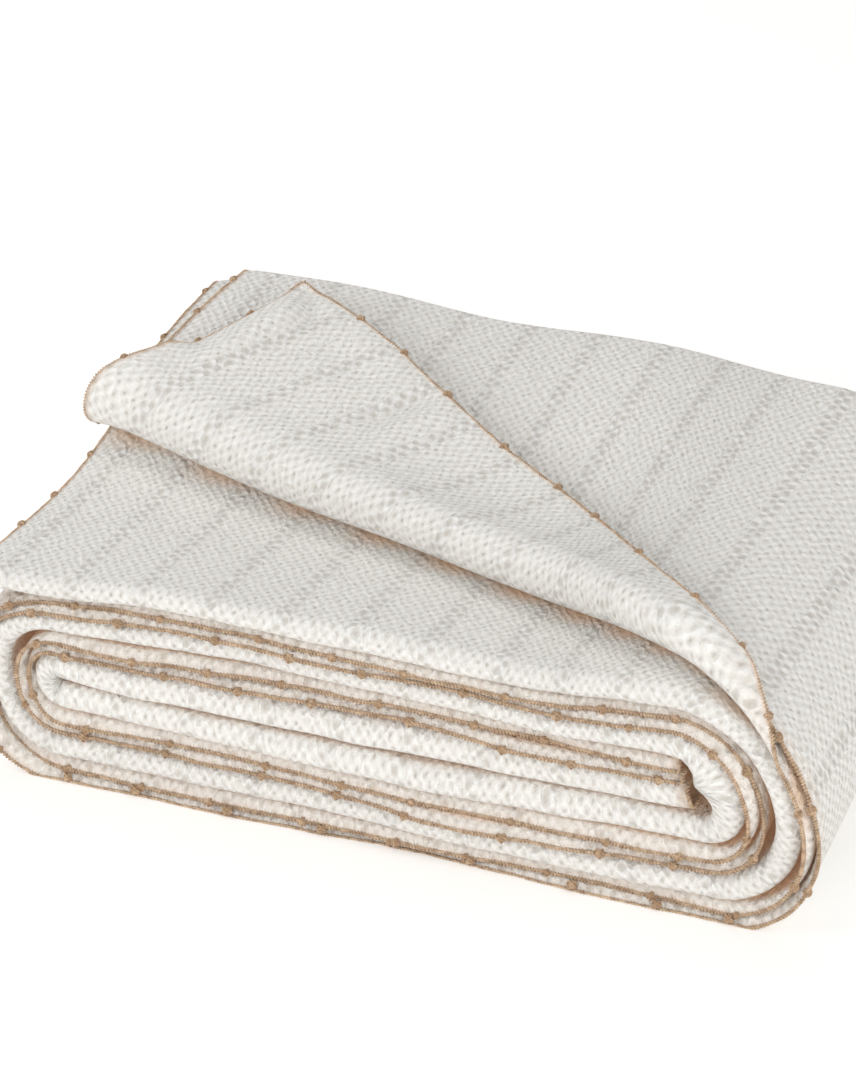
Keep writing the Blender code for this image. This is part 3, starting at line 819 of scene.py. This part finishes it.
def spun_yarn(settings):
    """Spun cotton yarn dyed tan: matt, its twist showing as fine slanting lines, a little fluffy
    and darker in the knots."""
    material, tree, output = new_material("spun_cotton_yarn")
    places = add(tree, "ShaderNodeUVMap", uv_map="places")
    parts = add(tree, "ShaderNodeSeparateXYZ", {0: places})
    object_places = add(tree, "ShaderNodeTexCoord")
    patches = add(tree, "ShaderNodeTexNoise",
                  {0: object_places.outputs["Object"], "Scale": PATCH_SCALE, "Detail": 3.0})
    fluff = add(tree, "ShaderNodeTexNoise",
                {0: object_places.outputs["Object"], "Scale": FLUFF_SCALE, "Detail": 2.0})
    made = add_steps(tree, {"along": parts.outputs[0], "round": parts.outputs[1],
                            "fluff": fluff.outputs[0]}, (
        ("turns", "MULTIPLY_ADD", "along", 1.0 / TWIST_LENGTH, "round"),
        ("angle", "MULTIPLY", "turns", 2.0 * math.pi),
        ("twist", "SINE", "angle"),
        ("plied", "MULTIPLY_ADD", "twist", 0.35, 0.5),
        ("height", "MULTIPLY_ADD", "fluff", 0.5, "plied"),
    ))
    knotted = add(tree, "ShaderNodeAttribute", attribute_name="knotted")
    lighter = add(tree, "ShaderNodeMath", {0: knotted.outputs["Fac"], 1: KNOT_DARKER, 2: patches},
                  operation="MULTIPLY_ADD")
    tone = add(tree, "ShaderNodeMapRange", {0: lighter, 1: 0.35, 2: 0.65})
    colour = add(tree, "ShaderNodeMix", {0: tone, 6: settings.dark_colour, 7: settings.light_colour},
                 data_type="RGBA")
    lift = add(tree, "ShaderNodeBump", {"Strength": 0.8, "Distance": TWIST_HEIGHT,
                                        "Height": made["height"]})
    shader = add(tree, "ShaderNodeBsdfPrincipled", {
        "Base Color": colour.outputs[2], "Roughness": 0.9, "Normal": lift,
        "Sheen Weight": 0.2, "Sheen Roughness": 0.5, "Specular IOR Level": 0.25,
    })
    add_links(tree, output, shader)
    return material


def side_lines(points):
    """The cloth's four sides in order: edge points and the way out of the cloth at each."""
    sides = {
        "hem_outer": (points[:, 0], points[:, 1]),
        "end_free": (points[-1], points[-2]),
        "hem_inner": (points[::-1, -1], points[::-1, -2]),
        "end_inner": (points[0, ::-1], points[1, ::-1]),
    }
    lines = {}
    for name, (edge, inner) in sides.items():
        along = unit(np.gradient(edge, axis=0))
        raw = edge - inner
        lines[name] = edge, unit(raw - along * np.sum(raw * along, axis=1, keepdims=True))
    return lines


def resampled(edge, out, step):
    """Edge and way out at even steps of length, with the length at each."""
    length = np.concatenate([[0.0], np.cumsum(np.linalg.norm(np.diff(edge, axis=0), axis=1))])
    marks = np.arange(0.0, length[-1], step)
    places = np.stack([np.interp(marks, length, edge[:, k]) for k in range(3)], axis=-1)
    ways = np.stack([np.interp(marks, length, out[:, k]) for k in range(3)], axis=-1)
    along = unit(np.gradient(places, axis=0))
    ways = unit(ways - along * np.sum(ways * along, axis=1, keepdims=True))
    return marks, places, ways, np.cross(along, ways)


def tube(path, side, radius, count):
    """Closed tube: a circle of a radius carried along a path; side gives its starting way."""
    along = unit(np.gradient(path, axis=0))
    side = unit(side - along * np.sum(side * along, axis=1, keepdims=True))
    other = np.cross(along, side)
    angle = 2.0 * math.pi * np.arange(count) / count
    ring = side[:, None] * np.cos(angle)[:, None] + other[:, None] * np.sin(angle)[:, None]
    points = path[:, None] + ring * np.reshape(radius, (-1, 1, 1))
    length = np.concatenate([[0.0], np.cumsum(np.linalg.norm(np.diff(path, axis=0), axis=1))])
    rings = len(path)
    number = np.arange(rings * count).reshape(rings, count)
    turned = np.roll(number, -1, axis=1)
    quads = np.stack([number[:-1], turned[:-1], turned[1:], number[1:]], axis=-1).reshape(-1, 4)
    places = np.stack([np.repeat(length, count), np.tile(angle / (2.0 * math.pi), rings)], axis=-1)
    caps = cap_faces(number[0][::-1], number[-1])
    return points.reshape(-1, 3), np.vstack([quads, caps]), places


def cap_faces(first, last):
    """Quads that close both ends of a tube of an even count of sides, as a strip across."""
    faces = []
    for ring in (first, last):
        for k in range(1, len(ring) // 2):
            faces.append((ring[k - 1], ring[k], ring[-k - 1], ring[-k]))
    return np.array(faces)


def joined(shells):
    """Several closed shells as one mesh."""
    starts = np.cumsum([0] + [len(points) for points, _, _ in shells[:-1]])
    points = np.vstack([shell[0] for shell in shells])
    faces = np.vstack([shell[1] + start for shell, start in zip(shells, starts)])
    places = np.vstack([shell[2] for shell in shells])
    return points, faces, places


def whipped_yarn(edge, out, settings):
    """Yarn sewn over an edge: a spiral that bites into the cloth, over a yarn laid beside it."""
    pitch, yarn = settings.stitch_pitch * MM_IN_METRE, settings.yarn_radius * MM_IN_METRE
    marks, places, ways, up = resampled(edge, out, pitch / STITCH_POINTS)
    turn = 2.0 * math.pi * marks / pitch + TURN_STRAY * uneven(marks, 9.0, 0.7)
    reach = STITCH_REACH * (1.0 + REACH_STRAY * uneven(marks, 4.3, 0.0))
    rise = STITCH_RISE * (1.0 + RISE_STRAY * uneven(marks, 5.1, 1.0))
    radial = ways * np.cos(turn)[:, None] * reach[:, None]
    radial = radial + up * np.sin(turn)[:, None] * rise[:, None]
    spiral = places + ways * EDGE_SHIFT + radial
    spiral[:, 2] = np.maximum(spiral[:, 2], yarn)
    coarse = slice(None, None, STITCH_POINTS)
    core = places[coarse] + ways[coarse] * (EDGE_SHIFT + CORE_SHIFT)
    core[:, 2] = np.maximum(core[:, 2], CORE_RADIUS)
    laid_in = tube(core, up[coarse], CORE_RADIUS, YARN_SIDES)
    return [tube(spiral, radial, yarn, YARN_SIDES), laid_in]


def knot_shape(settings):
    """One knot in its own ways along, out and up: five loose turns of yarn wound every way
    round a small core."""
    yarn = settings.yarn_radius * MM_IN_METRE * KNOT_YARN
    size = settings.knot_radius * MM_IN_METRE - yarn
    turn = 2.0 * math.pi * np.arange(KNOT_POINTS + 1) / KNOT_POINTS
    shells = []
    for tilt, roll, grow in KNOT_TURNS:
        ring = np.stack([0.3 * np.sin(2 * turn + tilt), np.cos(turn), 0.85 * np.sin(turn)], axis=-1)
        ring = ring @ np.array(Matrix.Rotation(tilt, 3, "Z") @ Matrix.Rotation(roll, 3, "Y"))
        shells.append(tube(ring * size * grow, ring, yarn, YARN_SIDES))
    half = np.linspace(-0.98, 0.98, 5)
    axis = np.stack([half * size, 0.0 * half, 0.0 * half], axis=-1) * 0.8
    side = np.tile((0.0, 1.0, 0.0), (5, 1))
    shells.append(tube(axis, side, 0.8 * size * np.sqrt(1.0 - half**2), 8))
    return joined(shells)


def knots(edge, out, first, settings):
    """All knots of one side: the one shape set at each place, turned and sized a little apart."""
    marks, places, ways, up = resampled(edge, out, 1.0)
    spacing = settings.knot_spacing * MM_IN_METRE
    at = np.arange(first, marks[-1] - KNOT_MARGIN, spacing)
    at = at + KNOT_STRAY * np.sin(at / 31.0)
    spot = np.clip(np.round(at).astype(int), 4, len(marks) - 5)
    along = np.cross(ways, up)[spot]
    size = 1.0 + KNOT_SIZE_STRAY * uneven(at, 9.0, 2.0)
    shape, faces, flat = knot_shape(settings)
    axes = np.stack([along, ways[spot], up[spot]], axis=1) * size[:, None, None]
    middle = places[spot] + ways[spot] * (EDGE_SHIFT + KNOT_SHIFT)
    middle[:, 2] = np.maximum(middle[:, 2], settings.knot_radius * MM_IN_METRE * size)
    points = np.einsum("vk,nkc->nvc", shape, axes) + middle[:, None]
    starts = len(shape) * np.arange(len(at))
    all_faces = (faces[None] + starts[:, None, None]).reshape(-1, 4)
    return points.reshape(-1, 3), all_faces, np.tile(flat, (len(at), 1))


class BedspreadClothSettings(bpy.types.PropertyGroup):
    """Sizes and colours of the woven cloth."""

    thickness: bpy.props.FloatProperty(
        name="Thickness", description="Thickness of the cloth over its bumps",
        default=0.0036, min=0.001, max=0.006, unit="LENGTH", precision=4,
    )
    hem_thickness: bpy.props.FloatProperty(
        name="Hem thickness", description="Thickness where the edging pulls the cloth tight",
        default=0.0018, min=0.001, max=0.006, unit="LENGTH", precision=4,
    )
    # width of the band where the stitches' tan and painted shade tinge the cloth's edges
    stitch_tan_and_shade_width: bpy.props.FloatProperty(
        name="Stitch tan and shade", description="How far in the tan stitches tinge the cloth's edges",
        default=0.0023, min=0.001, max=0.02, unit="LENGTH", precision=4,
    )
    column_pitch: bpy.props.FloatProperty(
        name="Column pitch", description="Distance between columns of bumps",
        default=0.0033, min=0.001, max=0.01, unit="LENGTH", precision=4,
    )
    bump_pitch: bpy.props.FloatProperty(
        name="Bump pitch", description="Distance between rows of bumps",
        default=0.0044, min=0.001, max=0.01, unit="LENGTH", precision=4,
    )
    stripe_pitch: bpy.props.FloatProperty(
        name="Stripe pitch", description="Distance between the woven stripes",
        default=0.0455, min=0.02, max=0.1, unit="LENGTH", precision=4,
    )
    bump_height: bpy.props.FloatProperty(
        name="Bump height", description="How far the bumps stand above the pits between them",
        default=0.0019, min=0.0, max=0.003, unit="LENGTH", precision=5,
    )
    yarn_colour: colour_property("Yarn", "#F5F3EF", "Colour of the cotton yarn")
    # painted warm shade deep between the layers; at the edges also the stitches' tan
    shade_and_stitch_colour: colour_property(
        "Painted shade and stitch tan", "#D8B493", "Warm tone deep between the folded layers",
    )
    # strength of the glow painted into the shaded folds
    painted_glow: bpy.props.FloatProperty(
        name="Painted glow", description="Warm light that soaks through the cloth into its folds",
        default=0.12, min=0.0, max=1.0,
    )
    # painted shade of the yarn low between the bumps
    low_shade_colour: colour_property("Low yarn shade", "#E2DED7", "Colour of the yarn low down between the bumps")
    # painted shade deep between the yarns
    pit_shade_colour: colour_property(
        "Pit shade", "#A0968A", "Colour deep between the yarns, where little light gets in",
    )


class BedspreadEdgingSettings(bpy.types.PropertyGroup):
    """Sizes and colours of the yarn edging."""

    yarn_radius: bpy.props.FloatProperty(
        name="Yarn radius", description="Half the thickness of the sewing yarn",
        default=0.00043, min=0.0002, max=0.002, unit="LENGTH", precision=5,
    )
    stitch_pitch: bpy.props.FloatProperty(
        name="Stitch pitch", description="Distance between whip stitches",
        default=0.0021, min=0.001, max=0.01, unit="LENGTH", precision=4,
    )
    knot_radius: bpy.props.FloatProperty(
        name="Knot radius", description="Half the width of a knot",
        default=0.0033, min=0.001, max=0.006, unit="LENGTH", precision=4,
    )
    knot_spacing: bpy.props.FloatProperty(
        name="Knot spacing", description="Distance between knots",
        default=0.054, min=0.02, max=0.2, unit="LENGTH", precision=4,
    )
    light_colour: colour_property("Light yarn", "#DFC4A5", "Lighter tan of the edging yarn")
    dark_colour: colour_property("Dark yarn", "#AD8F71", "Darker tan of the edging yarn")


class BedspreadStageSettings(bpy.types.PropertyGroup):
    """Floor, lights and camera."""

    floor_colour: colour_property("Floor", "#F4F3F1", "Colour of the plain floor")
    left_power: bpy.props.FloatProperty(
        name="Left light", description="Power of the soft light on the left, in watts",
        default=15.0, min=0.0, max=500.0,
    )
    right_power: bpy.props.FloatProperty(
        name="Right light", description="Power of the soft light on the right, in watts",
        default=13.0, min=0.0, max=500.0,
    )
    front_power: bpy.props.FloatProperty(
        name="Front light", description="Power of the soft light in front, in watts",
        default=15.0, min=0.0, max=500.0,
    )
    top_power: bpy.props.FloatProperty(
        name="Top light", description="Power of the light above and behind, in watts",
        default=15.0, min=0.0, max=500.0,
    )
    floor_glow: bpy.props.FloatProperty(
        name="Floor glow", description="Light given off by the floor, a lit white table",
        default=0.26, min=0.0, max=2.0,
    )
    sky_strength: bpy.props.FloatProperty(
        name="Surrounding light", description="Strength of the even white light all round",
        default=0.48, min=0.0, max=5.0,
    )
    lens: bpy.props.FloatProperty(
        name="Lens", description="Focal length on a 36 mm wide sensor",
        default=141.3, min=20.0, max=400.0, unit="CAMERA",
    )


class BEDSPREAD_OT_cloth(bpy.types.Operator):
    """Make the folded and rolled cloth."""

    bl_idname = "bedspread.cloth"
    bl_label = "Woven cloth"

    def execute(self, context):
        settings = context.scene.bedspread_cloth
        points, along, across, shade_and_stitch_share = folded_cloth()
        width = across[:, -1:]
        from_edge = np.minimum(np.minimum(across, width - across), along[-1:] - along)
        from_edge = np.minimum(from_edge, along - along[:1])
        thin, full = settings.hem_thickness * MM_IN_METRE, settings.thickness * MM_IN_METRE
        thick = thin + (full - thin) * ease(from_edge / HEM_TAPER)
        # the edges get the stitches' tan mixed with painted warm shade; a band along the front hems
        # gets painted crease shade
        warm = settings.stitch_tan_and_shade_width * MM_IN_METRE * (1.0 + 0.3 * uneven(along, 7.0, across / 90.0))
        stitch_tan_and_shade = STITCH_TAN_AND_SHADE * (1.0 - ease(from_edge / warm))
        hem = ease((HEM_SHADE_REACH - np.minimum(across, width - across)) / HEM_SHADE_FADE)
        hem = HEM_PAINTED_SHADE * hem
        shade_and_stitch_share = np.maximum(shade_and_stitch_share, np.maximum(stitch_tan_and_shade, hem * ease((TOP_START - along) / HEM_RETURN)))
        places = np.stack([along, across], axis=-1).reshape(-1, 2)
        mesh_points, faces, rim = thick_sheet(points, thick)
        places = np.vstack([places, places, places[rim]])
        cloth = make_piece("woven_cloth", mesh_points, faces, places, woven_cotton(settings))
        shade_and_stitch_share = np.concatenate([shade_and_stitch_share.ravel(), shade_and_stitch_share.ravel(), shade_and_stitch_share.ravel()[rim]])
        # the share of painted shade, painted glow and stitch tan goes to the material as a point value
        add_values(cloth, "inside", shade_and_stitch_share)
        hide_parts("cloth")
        return {"FINISHED"}


class BEDSPREAD_OT_edging(bpy.types.Operator):
    """Sew the knotted yarn edging round the cloth."""

    bl_idname = "bedspread.edging"
    bl_label = "Yarn edging"

    def execute(self, context):
        settings = context.scene.bedspread_edging
        yarn = spun_yarn(settings)
        points, _, _, _ = folded_cloth()
        for name, (edge, out) in side_lines(points).items():
            shells = whipped_yarn(edge, out, settings)
            shells.append(knots(edge, out, FIRST_KNOTS[name], settings))
            piece = make_piece(f"edging_{name}", *joined(shells), yarn)
            knotted = [np.full(len(shell[0]), float(shell is shells[-1])) for shell in shells]
            add_values(piece, "knotted", np.concatenate(knotted))
            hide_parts("edging")
        return {"FINISHED"}


class BEDSPREAD_OT_stage(bpy.types.Operator):
    """Set up the plain floor, the soft lights and the camera."""

    bl_idname = "bedspread.stage"
    bl_label = "Stage"

    def execute(self, context):
        scene = context.scene
        settings = scene.bedspread_stage
        make_floor(settings)
        light_up(scene, settings)
        scene.camera = make_camera(settings)
        scene.view_settings.view_transform = "Standard"
        return {"FINISHED"}


def make_floor(settings):
    """Large plain floor that the bundle lies on."""
    # an acrylic sheet lit from below is even, nearly white and without grain or mirror image
    material, tree, output = new_material("lit_acrylic_sheet")
    shader = add(tree, "ShaderNodeBsdfPrincipled",
                 {"Base Color": settings.floor_colour, "Roughness": 0.8,
                  "Emission Color": settings.floor_colour,
                  "Emission Strength": settings.floor_glow})
    add_links(tree, output, shader)
    mesh = bpy.data.meshes.new("floor")
    corners = ((-1, -1), (1, -1), (1, 1), (-1, 1))
    corners = [(x * FLOOR_HALF, y * FLOOR_HALF, 0.0) for x, y in corners]
    mesh.from_pydata(corners, [], [(0, 1, 2, 3)])
    mesh.materials.append(material)
    floor = bpy.data.objects.new("floor", mesh)
    bpy.context.scene.collection.objects.link(floor)


def light_up(scene, settings):
    """Even white surroundings and large soft lights on either side, in front and above."""
    world = bpy.data.worlds.new("white_surroundings")
    world.use_nodes = True
    background = world.node_tree.nodes["Background"]
    background.inputs["Color"].default_value = (1.0, 1.0, 1.0, 1.0)
    background.inputs["Strength"].default_value = settings.sky_strength
    scene.world = world
    lamps = (
        ("soft_left", LEFT_PLACE, settings.left_power),
        ("soft_right", RIGHT_PLACE, settings.right_power),
        ("soft_front", FRONT_PLACE, settings.front_power),
        ("soft_top", TOP_PLACE, settings.top_power),
    )
    for name, place, power in lamps:
        light = bpy.data.lights.new(name, "AREA")
        light.energy = power
        light.size = LIGHT_SIZE
        lamp = bpy.data.objects.new(name, light)
        lamp.location = place
        lamp.rotation_euler = (-Vector(place)).to_track_quat("-Z", "Y").to_euler()
        scene.collection.objects.link(lamp)


def make_camera(settings):
    """Camera at the photograph's angle: turned to the side, looking down on the bundle."""
    turn, down = CAMERA_TURN, CAMERA_DOWN
    back = Vector((math.sin(turn) * math.cos(down), -math.cos(turn) * math.cos(down), math.sin(down)))
    right = Vector((math.cos(turn), math.sin(turn), 0.0))
    data = bpy.data.cameras.new("photo_camera")
    data.lens = settings.lens
    data.clip_end = CAMERA_REACH
    camera = bpy.data.objects.new("photo_camera", data)
    camera.matrix_world = Matrix((right, back.cross(right), back)).transposed().to_4x4()
    camera.location = Vector(CAMERA_TARGET) + back * CAMERA_DISTANCE
    bpy.context.scene.collection.objects.link(camera)
    return camera


class VIEW3D_PT_bedspread(bpy.types.Panel):
    """Sizes, colours and buttons of the bedspread."""

    bl_label = "Bedspread"
    bl_space_type = "VIEW_3D"
    bl_region_type = "UI"
    bl_category = "Bedspread"

    def draw(self, context):
        groups = (
            ("bedspread_cloth", "bedspread.cloth"),
            ("bedspread_edging", "bedspread.edging"),
            ("bedspread_stage", "bedspread.stage"),
        )
        for group, operator in groups:
            box = self.layout.box()
            settings = getattr(context.scene, group)
            for name in settings.__annotations__:
                box.prop(settings, name)
            box.operator(operator)


CLASSES = (
    BedspreadClothSettings,
    BedspreadEdgingSettings,
    BedspreadStageSettings,
    BEDSPREAD_OT_cloth,
    BEDSPREAD_OT_edging,
    BEDSPREAD_OT_stage,
    VIEW3D_PT_bedspread,
)


def register():
    """Register the classes and give the scene its settings."""
    for made in CLASSES:
        bpy.utils.register_class(made)
    scene = bpy.types.Scene
    scene.bedspread_cloth = bpy.props.PointerProperty(type=BedspreadClothSettings)
    scene.bedspread_edging = bpy.props.PointerProperty(type=BedspreadEdgingSettings)
    scene.bedspread_stage = bpy.props.PointerProperty(type=BedspreadStageSettings)


def unregister():
    """Take the settings and the classes away again."""
    for name in ("bedspread_stage", "bedspread_edging", "bedspread_cloth"):
        delattr(bpy.types.Scene, name)
    for made in reversed(CLASSES):
        bpy.utils.unregister_class(made)


def main():
    """Make every piece and the stage."""
    register()
    bpy.ops.bedspread.cloth()
    bpy.ops.bedspread.edging()
    bpy.ops.bedspread.stage()


if __name__ == "__main__":
    main()
